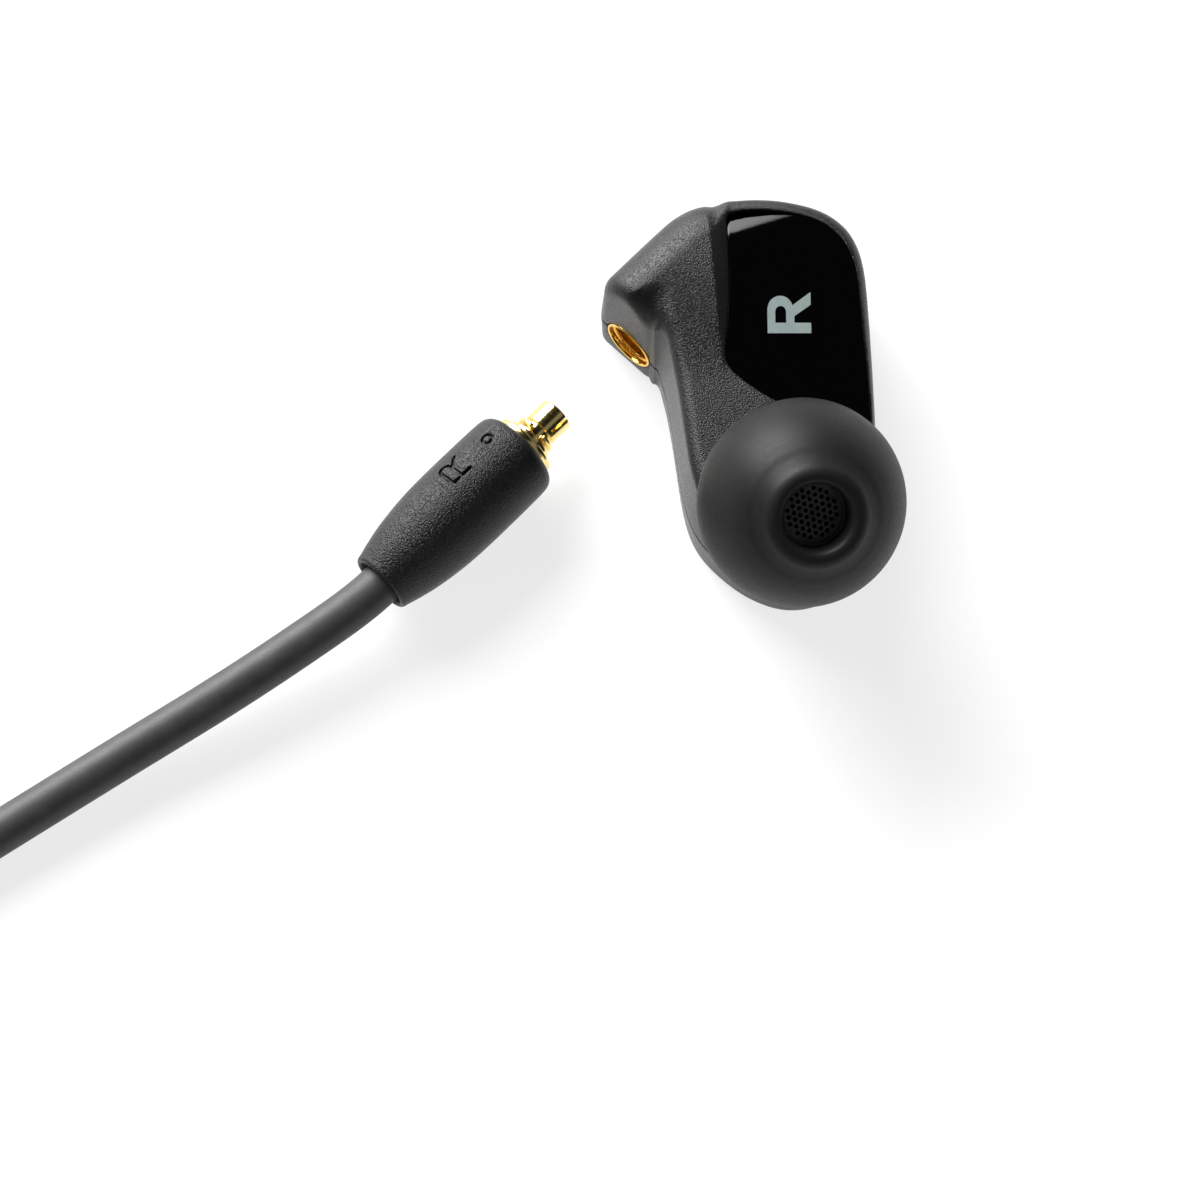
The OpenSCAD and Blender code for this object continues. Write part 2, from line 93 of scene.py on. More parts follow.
SOCKET_LAND = 1.325  # from the socket's mouth to the middle of its guide land
jack_dir = unit(JOINTS["plug_insertion"]["axis"])
jack_mouth = mm(MOUNTS["cable_socket"]["pos_m"]) - SOCKET_LAND * jack_dir
UNPLUGGED = float(np.dot(jack_mouth - mm(JOINTS["plug_swivel"]["pos_m"]), jack_dir))
# x points up, so y points to the south-east side of the socket arm.
JACK = Axes(jack_mouth, jack_dir, (0, 0, 1))
PLUG = Axes(jack_mouth - UNPLUGGED * jack_dir, jack_dir, (0, 0, 1))
NOZZLE_BASE = (-0.05, -9.03, 8.5)
NOZZLE = Axes(NOZZLE_BASE, JOINTS["tip_pull"]["axis"], (1, 0, 0))


# ---------------------------------------------------------------- signed distances
def smooth_outline(points, rounds):
    """Corner cutting, which turns a coarse closed outline into a smooth one."""
    p = np.array(points, float)
    for _ in range(rounds):
        q = np.roll(p, -1, axis=0)
        p = np.stack([0.75 * p + 0.25 * q, 0.25 * p + 0.75 * q], axis=1).reshape(-1, 2)
    return p


def outline_distance(points, x, y):
    """Distance to a closed outline in the plane, negative inside it."""
    x, y = np.broadcast_arrays(x, y)
    best = np.full(x.shape, 1e9, np.float64)
    odd = np.zeros(x.shape, bool)
    for (ax, ay), (bx, by) in zip(points, np.roll(points, -1, axis=0)):
        ex, ey = bx - ax, by - ay
        t = np.clip(((x - ax) * ex + (y - ay) * ey) / (ex * ex + ey * ey), 0, 1)
        best = np.minimum(best, (x - ax - t * ex) ** 2 + (y - ay - t * ey) ** 2)
        if ey != 0:
            crosses = (ay > y) != (by > y)
            odd ^= crosses & (x < ax + (y - ay) / ey * ex)
    return np.where(odd, -np.sqrt(best), np.sqrt(best))


def both(a, b, r=0.0):
    """The space in both a and b, its edge rounded to radius r."""
    r = np.maximum(r, 1e-6)
    reach = np.hypot(np.maximum(a + r, 0), np.maximum(b + r, 0))
    return np.minimum(np.maximum(a, b), -r) + reach


def either(a, b, r=0.0):
    """The space in a or b, the crook between them rounded."""
    return -both(-a, -b, r)


def less(a, b, r=0.0):
    """The space in a but not in b."""
    return both(a, -b, r)


def ease(t):
    """0 to 1, slowly at both ends."""
    t = np.clip(t, 0, 1)
    return t * t * (3 - 2 * t)


# ---------------------------------------------------------------- from a field to a mesh
CORNERS = [(i, j, k) for i in (0, 1) for j in (0, 1) for k in (0, 1)]
EDGES = [(a, b) for a in range(8) for b in range(a + 1, 8)
         if sum(abs(CORNERS[a][i] - CORNERS[b][i]) for i in range(3)) == 1]


def sample(field, at):
    """The field and its slope at points given in cells."""
    top = np.array(field.shape) - 1.001
    at = np.clip(at, 0, top)
    i = at.astype(int)
    f = at - i
    value = np.zeros(len(at))
    slope = np.zeros((len(at), 3))
    for c in CORNERS:
        v = field[i[:, 0] + c[0], i[:, 1] + c[1], i[:, 2] + c[2]]
        w = [f[:, a] if c[a] else 1 - f[:, a] for a in range(3)]
        value += v * w[0] * w[1] * w[2]
        for a in range(3):
            others = [w[b] for b in range(3) if b != a]
            slope[:, a] += v * others[0] * others[1] * (1 if c[a] else -1)
    return value, slope


def surface(field, low, step, settle):
    """Vertices in mm and faces of the surface where the field is 0. The field is negative inside."""
    inside = field < 0
    shape = np.array(field.shape) - 1
    count = sum(inside[c[0]:c[0] + shape[0], c[1]:c[1] + shape[1], c[2]:c[2] + shape[2]].astype(np.int8)
                for c in CORNERS)
    cells = np.argwhere((count > 0) & (count < 8))
    number = -np.ones(shape, int)
    number[tuple(cells.T)] = np.arange(len(cells))
    value = np.stack([field[cells[:, 0] + c[0], cells[:, 1] + c[1], cells[:, 2] + c[2]] for c in CORNERS], 1)
    total = np.zeros((len(cells), 3))
    hits = np.zeros(len(cells))
    for a, b in EDGES:
        crossed = (value[:, a] < 0) != (value[:, b] < 0)
        t = np.where(crossed, value[:, a] / np.where(crossed, value[:, a] - value[:, b], 1), 0)
        at = np.array(CORNERS[a]) + t[:, None] * (np.array(CORNERS[b]) - np.array(CORNERS[a]))
        total += np.where(crossed[:, None], at, 0)
        hits += crossed
    verts = cells + total / hits[:, None]
    faces = []
    for axis in range(3):
        u, v = [a for a in range(3) if a != axis]
        head = [slice(1, n) for n in field.shape]
        head[axis] = slice(0, field.shape[axis] - 1)
        tail = list(head)
        tail[axis] = slice(1, field.shape[axis])
        head[u] = tail[u] = slice(1, field.shape[u] - 1)
        head[v] = tail[v] = slice(1, field.shape[v] - 1)
        first, second = inside[tuple(head)], inside[tuple(tail)]
        at = np.argwhere(first != second)
        out = first[tuple(at.T)]
        at[:, u] += 1
        at[:, v] += 1
        ring = []
        for du, dv in ((0, 0), (-1, 0), (-1, -1), (0, -1)):
            q = at.copy()
            q[:, u] += du
            q[:, v] += dv
            ring.append(number[tuple(q.T)])
        quad = np.stack(ring, 1)
        flip = out if axis != 1 else ~out
        quad[~flip] = quad[~flip][:, ::-1]
        faces.append(quad)
    faces = np.concatenate(faces)
    faces = faces[(faces >= 0).all(axis=1)]
    for _ in range(settle):
        near = np.zeros_like(verts)
        many = np.zeros(len(verts))
        for k in range(4):
            a, b = faces[:, k], faces[:, (k + 1) % 4]
            for i, j in ((a, b), (b, a)):
                for axis in range(3):
                    near[:, axis] += np.bincount(i, verts[j, axis], len(verts))
                many += np.bincount(i, minlength=len(verts))
        verts = 0.5 * verts + 0.5 * near / np.maximum(many, 1)[:, None]
        for _ in range(2):
            f, g = sample(field, verts)
            verts -= np.clip(f / np.maximum((g * g).sum(1), 1e-12), -50, 50)[:, None] * g
    return np.array(low) + verts * step, faces


def new_object(name, verts, faces, material):
    """A smooth shaded mesh object from vertices in mm."""
    mesh = bpy.data.meshes.new(name)
    mesh.from_pydata((np.asarray(verts) * MM).tolist(), [], [list(map(int, f)) for f in faces])
    mesh.validate()
    mesh.update()
    mesh.polygons.foreach_set("use_smooth", [True] * len(mesh.polygons))
    mesh.materials.append(material)
    ob = bpy.data.objects.new(name, mesh)
    bpy.context.scene.collection.objects.link(ob)
    return ob


def carved(name, field, low, high, step, material, settle=3, frame_of=None):
    """An object from a field function of x, y, z in mm over a box, in the world or in the Axes given."""
    low, high = np.array(low, float), np.array(high, float)
    n = np.ceil((high - low) / step).astype(int) + 1
    axes = [low[i] + step * np.arange(n[i]) for i in range(3)]
    x, y, z = axes[0][:, None, None], axes[1][None, :, None], axes[2][None, None, :]
    f = np.array(np.broadcast_to(field(x, y, z), tuple(n)), np.float64)
    verts, faces = surface(f, low, step, settle)
    return new_object(name, frame_of.world(np.array(verts)) if frame_of else verts, faces, material)


def lathe(name, profile, axes, material, around):
    """A body turned about the z of axes, from a closed ring of (radius, z) points.

    A point at radius 0 becomes a pole.
    """
    rows, verts = [], []
    for r, z in profile:
        if r < 1e-9:
            rows.append([len(verts)] * around)
            verts.append((0, 0, z))
        else:
            rows.append(list(range(len(verts), len(verts) + around)))
            turn = np.arange(around) * 2 * math.pi / around
            verts.extend(zip(r * np.cos(turn), r * np.sin(turn), [z] * around))
    faces = []
    for a, b in zip(rows, rows[1:] + rows[:1]):
        for i in range(around):
            j = (i + 1) % around
            f = [a[i], a[j], b[j], b[i]]
            f = [v for k, v in enumerate(f) if v != f[k - 1]]
            if len(set(f)) > 2:
                faces.append(f)
    ob = new_object(name, axes.world(np.array(verts, float)), faces, material)
    outward(ob)
    return ob


def outward(ob):
    bm = bmesh.new()
    bm.from_mesh(ob.data)
    bmesh.ops.recalc_face_normals(bm, faces=bm.faces)
    bm.to_mesh(ob.data)
    bm.free()


def curve_through(points, per_span):
    """A Catmull-Rom curve through points of any dimension."""
    p = np.array(points, float)
    q = np.concatenate([2 * p[:1] - p[1:2], p, 2 * p[-1:] - p[-2:-1]])
    out = []
    for i in range(1, len(q) - 2):
        for t in np.arange(per_span) / per_span:
            a, b, c, d = q[i - 1], q[i], q[i + 1], q[i + 2]
            out.append(0.5 * (2 * b + (c - a) * t + (2 * a - 5 * b + 4 * c - d) * t * t
                              + (3 * b - a - 3 * c + d) * t ** 3))
    out.append(q[-2])
    return np.array(out)


# ---------------------------------------------------------------- materials
def material(name, color, rough, metal=0.0, **extra):
    m = bpy.data.materials.new(name)
    m.use_nodes = True
    p = m.node_tree.nodes["Principled BSDF"]
    p.inputs["Base Color"].default_value = (*color, 1)
    p.inputs["Roughness"].default_value = rough
    p.inputs["Metallic"].default_value = metal
    for key, value in extra.items():
        p.inputs[key.replace("_", " ")].default_value = value
    return m


class Shader:
    """Adds procedural detail to a material. Scales are in cycles per mm."""

    def __init__(self, m):
        self.t = m.node_tree
        self.p = self.t.nodes["Principled BSDF"]
        self.where = self.t.nodes.new("ShaderNodeTexCoord").outputs["Object"]

    def noise(self, scale, detail, rough=0.55):
        n = self.t.nodes.new("ShaderNodeTexNoise")
        self.t.links.new(self.where, n.inputs["Vector"])
        n.inputs["Scale"].default_value = scale / MM
        n.inputs["Detail"].default_value = detail
        n.inputs["Roughness"].default_value = rough
        return n.outputs["Fac"]

    def grains(self, scale):
        n = self.t.nodes.new("ShaderNodeTexVoronoi")
        self.t.links.new(self.where, n.inputs["Vector"])
        n.inputs["Scale"].default_value = scale / MM
        return n.outputs["Distance"]

    def ranged(self, value, low, high, new_low, new_high):
        n = self.t.nodes.new("ShaderNodeMapRange")
        self.t.links.new(value, n.inputs["Value"])
        for key, v in (("From Min", low), ("From Max", high), ("To Min", new_low), ("To Max", new_high)):
            n.inputs[key].default_value = v
        return n.outputs["Result"]

    def mixed(self, value, a, b):
        n = self.t.nodes.new("ShaderNodeMix")
        n.data_type = "RGBA"
        self.t.links.new(value, n.inputs["Factor"])
        n.inputs["A"].default_value = (*a, 1)
        n.inputs["B"].default_value = (*b, 1)
        return n.outputs["Result"]

    def added(self, a, b, factor):
        """a, and a share of b on top."""
        n = self.t.nodes.new("ShaderNodeMath")
        n.operation = "MULTIPLY_ADD"
        self.t.links.new(b, n.inputs[0])
        n.inputs[1].default_value = factor
        self.t.links.new(a, n.inputs[2])
        return n.outputs[0]

    def bump(self, height, depth, strength=1.0):
        """depth is the relief in mm that a height of 1 stands for."""
        n = self.t.nodes.new("ShaderNodeBump")
        self.t.links.new(height, n.inputs["Height"])
        n.inputs["Distance"].default_value = depth * MM
        n.inputs["Strength"].default_value = strength
        self.t.links.new(n.outputs["Normal"], self.p.inputs["Normal"])

    def drive(self, key, socket):
        self.t.links.new(socket, self.p.inputs[key])


def textured_plastic(name, dark, light, grain, depth, rough):
    """Spark-eroded mould texture: fine grains that catch the light, over a slow change of tone."""
    m = material(name, dark, rough, Specular_IOR_Level=0.36)
    s = Shader(m)
    cells = s.grains(grain)
    fine = s.noise(grain * 2.4, 4, 0.6)
    s.drive("Base Color", s.mixed(s.ranged(s.noise(1.3, 5), 0.3, 0.7, 0, 1), dark, light))
    s.drive("Roughness", s.ranged(fine, 0.35, 0.65, rough - 0.07, rough + 0.07))
    s.bump(s.added(s.ranged(cells, 0, 0.6, 0, 1), fine, 0.8), depth)
    return m


def smooth_rubber(name, dark, light, rough, depth=0.004, shine=0.36):
    m = material(name, dark, rough, Specular_IOR_Level=shine)
    s = Shader(m)
    s.drive("Base Color", s.mixed(s.ranged(s.noise(0.9, 6), 0.3, 0.7, 0, 1), dark, light))
    s.drive("Roughness", s.ranged(s.noise(5, 3), 0.3, 0.7, rough - 0.05, rough + 0.05))
    s.bump(s.noise(9, 3), depth)
    return m


def plated(name, color, tint, rough):
    m = material(name, color, rough, 1.0)
    s = Shader(m)
    s.drive("Base Color", s.mixed(s.ranged(s.noise(1.6, 4), 0.3, 0.7, 0, 1), color, tint))
    s.drive("Roughness", s.ranged(s.noise(6, 4, 0.6), 0.3, 0.7, rough * 0.6, rough * 1.5))
    s.bump(s.noise(12, 2, 0.5), 0.0015)
    return m


SHELL = textured_plastic("matt_shell", (0.004, 0.004, 0.0042), (0.0065, 0.0065, 0.0067), 9.0, 0.024, 0.27)
BOOT = textured_plastic("matt_boot", (0.004, 0.004, 0.0042), (0.007, 0.007, 0.0072), 8.0, 0.037, 0.33)
SILICONE = smooth_rubber("tip_silicone", (0.0085, 0.0085, 0.0085), (0.0115, 0.0115, 0.0115), 0.5, 0.005, 0.2)
JACKET = smooth_rubber("cable_jacket", (0.046, 0.046, 0.047), (0.064, 0.064, 0.065), 0.5, 0.014)
GOLD = plated("gold_plate", (0.95, 0.74, 0.27), (0.97, 0.80, 0.38), 0.16)
GOLD_DEEP = plated("gold_plate_deep", (0.94, 0.56, 0.11), (0.95, 0.64, 0.18), 0.2)
STEEL = plated("steel", (0.55, 0.55, 0.56), (0.66, 0.66, 0.66), 0.3)
MESH_STEEL = plated("mesh_steel", (0.05, 0.05, 0.052), (0.08, 0.08, 0.08), 0.42)
COPPER = plated("copper", (0.85, 0.42, 0.22), (0.9, 0.5, 0.3), 0.25)
WHITE = smooth_rubber("insulator", (0.78, 0.76, 0.70), (0.82, 0.8, 0.76), 0.4)
FOAM = textured_plastic("damper_foam", (0.05, 0.06, 0.05), (0.08, 0.09, 0.08), 4, 0.06, 0.9)
FILM = smooth_rubber("diaphragm_film", (0.55, 0.45, 0.3), (0.62, 0.5, 0.34), 0.3)
BOARD = smooth_rubber("circuit_board", (0.01, 0.07, 0.03), (0.015, 0.1, 0.045), 0.35)
NOZZLE_PLASTIC = smooth_rubber("nozzle_plastic", (0.012, 0.012, 0.012), (0.016, 0.016, 0.016), 0.4)
MARK = smooth_rubber("mark_ink", (0.20, 0.25, 0.24), (0.23, 0.28, 0.27), 0.6, 0.004, 0.1)


def gloss_material():
    m = material("gloss_panel", (0.001, 0.001, 0.0012), 0.07, 0.0, Specular_IOR_Level=0.24)
    s = Shader(m)
    s.drive("Roughness", s.ranged(s.noise(2.5, 5, 0.6), 0.35, 0.75, 0.05, 0.11))
    s.bump(s.noise(0.35, 2, 0.4), 0.01, 0.25)
    return m


GLOSS = gloss_material()


# ---------------------------------------------------------------- the housing's shape
SEAM_Z = 3.6
MATT_TOP = 10.3
RIM_TOP = 9.62
PANEL_Z = 9.55
PANEL_T = 0.65
WALL_DRAFT = 0.075  # how far the wall leans in for each mm above the seam
END_EDGE = 1.15  # rounding all round the socket end of the arm
WALL = 0.95
END_WALL = 2.3  # solid behind the arm's end face
FLOOR_Z = 0.9
CEILING_Z = 8.2
HALF_SEAM = 0.02  # half the gap between the two shells
GAP = 0.03  # round a piece in its seat
# The socket's seat, along its axis: its body, its flange and its tail.
SEAT_R, FLANGE_R, TAIL_R = 1.88, 2.33, 1.63
SEAT_END, FLANGE_FRONT, FLANGE_BACK, TAIL_END = 1.2, 1.17, 1.73, 6
# The nozzle's seat, along its axis: the tube, and the driver below it.
NOZZLE_SEAT_R, NOZZLE_SEAT_LOW = 2.33, -1.6
DRIVER_SEAT_R, DRIVER_SEAT_TOP = 3.95, -2.95
DRIVER_TUBE_R, DRIVER_TUBE_TOP = 4.55, -1.2
VENT_AT, VENT_R = (0.5, 5), 0.4
HOUSING_PLAN = [
    (-8.82, 9.17), (-7.35, 10.55), (-5.7, 11.35), (-3.9, 11.3), (-2, 11.45), (0, 11.3), (2.3, 10.75),
    (3.9, 9.6), (4.8, 8.1), (5.25, 6.2), (5.42, 3.3), (5.58, -0.9), (5.68, -5), (5.5, -9),
    (4.5, -12), (2.6, -13.7), (0, -14.3), (-2.6, -13.4), (-4.8, -11.6), (-6.1, -9.9),
    (-6.75, -7.8), (-7.15, -4.9), (-7.6, -1.5), (-7.85, 0)
]
PANEL_PLAN = [
    (-3.95, 9.65), (-3.3, 9.85), (-2.4, 9.98), (-0.9, 9.95), (0.98, 9.6), (2.3, 9.05), (3.4, 8.05),
    (4.1, 6.6), (4.36, 5.15), (4.54, 1.9), (4.8, -1.1), (4.95, -4.7), (4.9, -6.6), (4.3, -7.1),
    (3.4, -6.3), (1.9, -4.9), (0, -3.75), (-1.65, -2.75), (-2.8, -1.9), (-3.8, -1),
    (-4.15, -0.1), (-3.95, 2), (-3.8, 4.2), (-3.82, 8)
]


def on_end(side, depth):
    """A point in plan by its place across the arm's end face and its depth behind it."""
    return tuple(jack_mouth[:2] + side * JACK.y[:2] + depth * jack_dir[:2])


# With the flat end face and the crook beside it, and with the arm run on far past them.
FULL_PLAN = smooth_outline(
    [on_end(-3.06, 0), on_end(-3.06, 0.6)] + HOUSING_PLAN
    + [on_end(3.2, -0.55), on_end(2.3, 0), on_end(1.9, 0), on_end(-2.6, 0)], 3)
LONG_PLAN = smooth_outline(
    [on_end(-3.06, -9), on_end(-3.06, -8)] + HOUSING_PLAN[:-1] + [(-8.6, 3), on_end(6, -6), on_end(2, -9)], 3)
PANEL_OUTLINE = smooth_outline(PANEL_PLAN, 3)


def step_edge(y):
    """x of the matt face's edge above the panel, and of the step's foot."""
    return -4.25 - 0.085 * (y + 0.5), -4.1 + 0.036 * (y + 0.5)


def top_height(x, y):
    """Height of the top: the matt face, the step and the rim round the panel."""
    edge, foot = step_edge(y)
    high = RIM_TOP + (MATT_TOP - RIM_TOP) * ease((y + 2) / 8.5)
    t = np.clip((x - edge) / np.maximum(foot - edge, 0.15), 0, 1)
    return high + (RIM_TOP - high) * t


def edge_radius(x, y):
    """How far the top face's edge is rounded: broad along the arm and the nose, tight elsewhere."""
    arm = ease((y - x - 9.2) / 3.5) * ease((-3.6 - x) / 1.4)
    nose = ease((-8.5 - y) / 3.5)
    return 0.85 + 0.25 * ease((x + 1) / 4) + 1.95 * arm + 1.9 * nose


def housing(x, y, z):
    """The whole housing as one solid."""
    full = outline_distance(FULL_PLAN, x[:, :, 0], y[:, :, 0])[:, :, None]
    long = outline_distance(LONG_PLAN, x[:, :, 0], y[:, :, 0])[:, :, None]
    draft = WALL_DRAFT * np.abs(z - SEAM_Z) * np.where(z > SEAM_Z, 1, 0.5)
    top = z - top_height(x, y)
    upper = both(long + draft, top, edge_radius(x, y))
    lower = both(long + draft, -z, 1.0)
    _, side, depth = JACK.local(x, y, z)
    face = -depth - 4 * ease((side - 1.7) / 1.6) - 3 * np.maximum(side - 3.3, 0)
    shape = both(both(upper, lower), face, END_EDGE)
    return both(shape, full + 0.3 * draft, 0.1), full


def collar(x, y, z):
    """The cone round the foot of the nozzle."""
    u, v, w = NOZZLE.local(x, y, z)
    r = np.hypot(u, v)
    return both(r - (4.1 - 0.36 * (w + 1.8)), w - 1.35, 0.25)


def cavity(x, y, z, full):
    """The hollow inside both shells."""
    s = JACK.local(x, y, z)[2]
    space = both(both(full + WALL, END_WALL - s, 0.4), z - CEILING_Z, 0.8)
    return both(space, FLOOR_Z - z, 0.3)


def socket_hole(x, y, z):
    a, b, s = JACK.local(x, y, z)
    r = np.hypot(a, b)
    wide = both(r - SEAT_R, s - SEAT_END)
    step = both(both(r - FLANGE_R, s - FLANGE_BACK), FLANGE_FRONT - s)
    return either(either(wide, step), both(r - TAIL_R, s - TAIL_END))


def nozzle_hole(x, y, z):
    u, v, w = NOZZLE.local(x, y, z)
    r = np.hypot(u, v)
    tube = both(r - NOZZLE_SEAT_R, NOZZLE_SEAT_LOW - w)
    return either(tube, both(r - DRIVER_SEAT_R, w - DRIVER_SEAT_TOP), 0.3)


def inner_shell_field(x, y, z):
    shape, full = housing(x, y, z)
    u, v, w = NOZZLE.local(x, y, z)
    shape = either(shape, collar(x, y, z), 0.5)
    driver_tube = both(np.hypot(u, v) - DRIVER_TUBE_R, w - DRIVER_TUBE_TOP)
    hollow = less(cavity(x, y, z, full), driver_tube, 0.3)
    shape = less(shape, hollow)
    pocket = outline_distance(PANEL_OUTLINE, x[:, :, 0], y[:, :, 0])[:, :, None] - GAP
    shape = less(shape, both(pocket, PANEL_Z - PANEL_T - GAP - z), 0.06)
    shape = less(shape, nozzle_hole(x, y, z), 0.1)
    shape = less(shape, socket_hole(x, y, z), 0.08)
    return both(shape, SEAM_Z + HALF_SEAM - z, 0.12)


def outer_shell_field(x, y, z):
    shape, full = housing(x, y, z)
    shape = less(shape, cavity(x, y, z, full))
    u, v, w = NOZZLE.local(x, y, z)
    below_driver = both(np.hypot(u, v) - 4.7, -4.9 - w)
    shape = less(shape, below_driver)
    shape = less(shape, socket_hole(x, y, z), 0.08)
    vent = both(np.hypot(x - VENT_AT[0], y - VENT_AT[1]) - VENT_R, z - 2)
    shape = less(shape, vent, 0.1)
    return both(shape, z - SEAM_Z + HALF_SEAM, 0.12)


def housing_pieces():
    room, cell = 0.6, 0.1
    low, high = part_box("outer_shell")
    low, high = mm(low) - room, mm(high) + room
    upper = carved("inner_shell_skin", inner_shell_field, (low[0], low[1], 1.5), (high[0], high[1], 11.3),
                   cell, SHELL)
    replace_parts(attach(upper, "earpiece"), "inner_shell")
    lower = carved("outer_shell_skin", outer_shell_field, (low[0], low[1], -room), (high[0], high[1], 4.1),
                   cell, SHELL)
    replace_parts(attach(lower, "earpiece"), "outer_shell")


# ---------------------------------------------------------------- gloss panel and its mark
BEVEL_FROM, BEVEL_TO = np.array((-3.8, 8.2)), np.array((1.5, 9.9))
BEVEL_SLOPE = math.tan(math.radians(15))


def panel_face(x, y):
    """The panel's face: flat, then turning down past a line across its far left corner."""
    along = unit(BEVEL_TO - BEVEL_FROM)
    past = (y - BEVEL_FROM[1]) * along[0] - (x - BEVEL_FROM[0]) * along[1]
    return PANEL_Z - BEVEL_SLOPE * (past + np.hypot(past, 0.12)) / 2


def gloss_panel():
    """The inlay: rings of points from its rim to its middle, so that its face can bend."""
    outline = PANEL_OUTLINE
    centre = np.array((0.6, 2.6))
    inset = curve_inset(outline)
    rows = []
    bottom = PANEL_Z - PANEL_T
    edge = 0.01
    rows.append(np.column_stack([outline, np.full(len(outline), bottom)]))
    for turn in np.linspace(0, math.pi / 2, 7):
        p = outline + inset * edge * (1 - math.cos(turn))
        rows.append(np.column_stack([p, panel_face(p[:, 0], p[:, 1]) - edge * (1 - math.sin(turn))]))
    ring = outline + inset * edge
    for k in np.linspace(0.97, 0.04, 34):
        p = centre + (ring - centre) * k
        rows.append(np.column_stack([p, panel_face(p[:, 0], p[:, 1])]))
    n = len(outline)
    verts = np.concatenate(rows + [np.array([[*centre, panel_face(*centre)], [*centre, bottom]])])
    faces = []
    for a in range(len(rows) - 1):
        for i in range(n):
            j = (i + 1) % n
            faces.append([a * n + i, a * n + j, (a + 1) * n + j, (a + 1) * n + i])
    last = (len(rows) - 1) * n
    for i in range(n):
        j = (i + 1) % n
        faces.append([last + i, last + j, len(verts) - 2])
        faces.append([j, i, len(verts) - 1])
    ob = new_object("gloss_panel_skin", verts, faces, GLOSS)
    outward(ob)
    sharp_by_angle(ob, 25)
    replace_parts(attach(ob, "earpiece"), "gloss_panel")


def curve_inset(outline):
    """The inward unit normals of an outline."""
    along = np.roll(outline, -1, axis=0) - np.roll(outline, 1, axis=0)
    normal = np.column_stack([along[:, 1], -along[:, 0]])
    normal /= np.linalg.norm(normal, axis=1)[:, None]
    area = np.sum(outline[:, 0] * np.roll(outline[:, 1], -1) - outline[:, 1] * np.roll(outline[:, 0], -1))
    return normal if area < 0 else -normal


LETTER_WIDE = 0.87


def letter_r():
    """A plain bold capital R, 1 high, as an outline and the hole in its bowl."""
    def arc(cx, cy, r, start, end):
        t = np.radians(np.linspace(start, end, 14))
        return [(cx + r * math.cos(a), cy + r * math.sin(a)) for a in t]
    outer = [(0, 0), (0.22, 0), (0.22, 0.38), (0.36, 0.38), (0.6, 0), (LETTER_WIDE, 0), (0.59, 0.42)]
    outer += arc(0.49, 0.70, 0.30, -58, 90)
    outer += [(0, 1)]
    hole = [(0.22, 0.57)] + arc(0.45, 0.695, 0.125, -90, 90) + [(0.22, 0.82)]
    return np.array(outer), np.array(hole)


def print_mark():
    """The printed mark: it reads with its top towards the socket arm."""
    wide, high, thick, lift = 2.85, 2.75, 0.012, 0.004
    centre = np.array((-0.05, 2.85))
    outer, hole = letter_r()
    curve = bpy.data.curves.new("right_mark", "CURVE")
    curve.dimensions = "2D"
    curve.fill_mode = "BOTH"
    curve.extrude = thick / 2 * MM
    for ring in (outer, hole):
        spline = curve.splines.new("POLY")
        spline.points.add(len(ring) - 1)
        for p, (u, v) in zip(spline.points, ring):
            x = centre[0] - (v - 0.5) * high
            y = centre[1] + (u - LETTER_WIDE / 2) / LETTER_WIDE * wide
            p.co = (x * MM, y * MM, 0, 1)
        spline.use_cyclic_u = True
    ob = bpy.data.objects.new("right_mark", curve)
    bpy.context.scene.collection.objects.link(ob)
    bpy.context.view_layer.update()
    mesh = bpy.data.meshes.new_from_object(ob)
    bpy.data.objects.remove(ob)
    mesh.transform(Matrix.Translation((0, 0, (PANEL_Z + thick / 2 + lift) * MM)))
    mesh.name = "right_mark"
    mark = bpy.data.objects.new("right_mark", mesh)
    mesh.materials.clear()
    mesh.materials.append(MARK)
    bpy.context.scene.collection.objects.link(mark)
    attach(mark, "earpiece")


# ---------------------------------------------------------------- ear tip
def ear_tip():
    """A mushroom of soft silicone: an open skirt that turns over a nose into the core round the nozzle."""
    outside = curve_through([
        (2.02, 9.45), (2.06, 9.75), (2.26, 10.02), (2.62, 10.1), (3.02, 9.92), (3.4, 9.52), (3.8, 9.14),
        (4.3, 8.72), (4.95, 8.0), (5.55, 7.06), (6.05, 5.95), (6.36, 4.9), (6.48, 4.05)], 8)
    line = [(6.485, 3.62), (6.46, 3.56), (6.43, 3.5), (6.45, 3.44), (6.44, 3.36)]
    rim = curve_through([(6.42, 3.25), (6.36, 3.02), (6.25, 2.88), (6.1, 2.86), (6.0, 2.98), (5.98, 3.3)], 5)
    under = curve_through([
        (5.99, 3.7), (5.84, 4.8), (5.48, 5.9), (4.88, 6.9), (4.2, 7.55), (3.7, 7.7), (3.42, 7.4),
        (3.26, 6.6), (3.15, 5.2), (3.15, 3.2), (3.1, 2.9), (2.94, 2.77), (2.68, 2.79), (2.55, 2.95)], 6)
    bore = [
        (2.53, 3.2), (2.53, 5), (2.53, 8.2), (2.48, 8.25), (2.1, 8.25), (2.02, 8.32), (2.0, 8.6), (2.0, 9.1)]
    profile = [*map(tuple, outside), *line, *map(tuple, rim), *map(tuple, under), *bore]
    ob = lathe("ear_tip_skin", profile, NOZZLE, SILICONE, 256)
    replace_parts(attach(ob, "ear_tip"), "ear_tip")


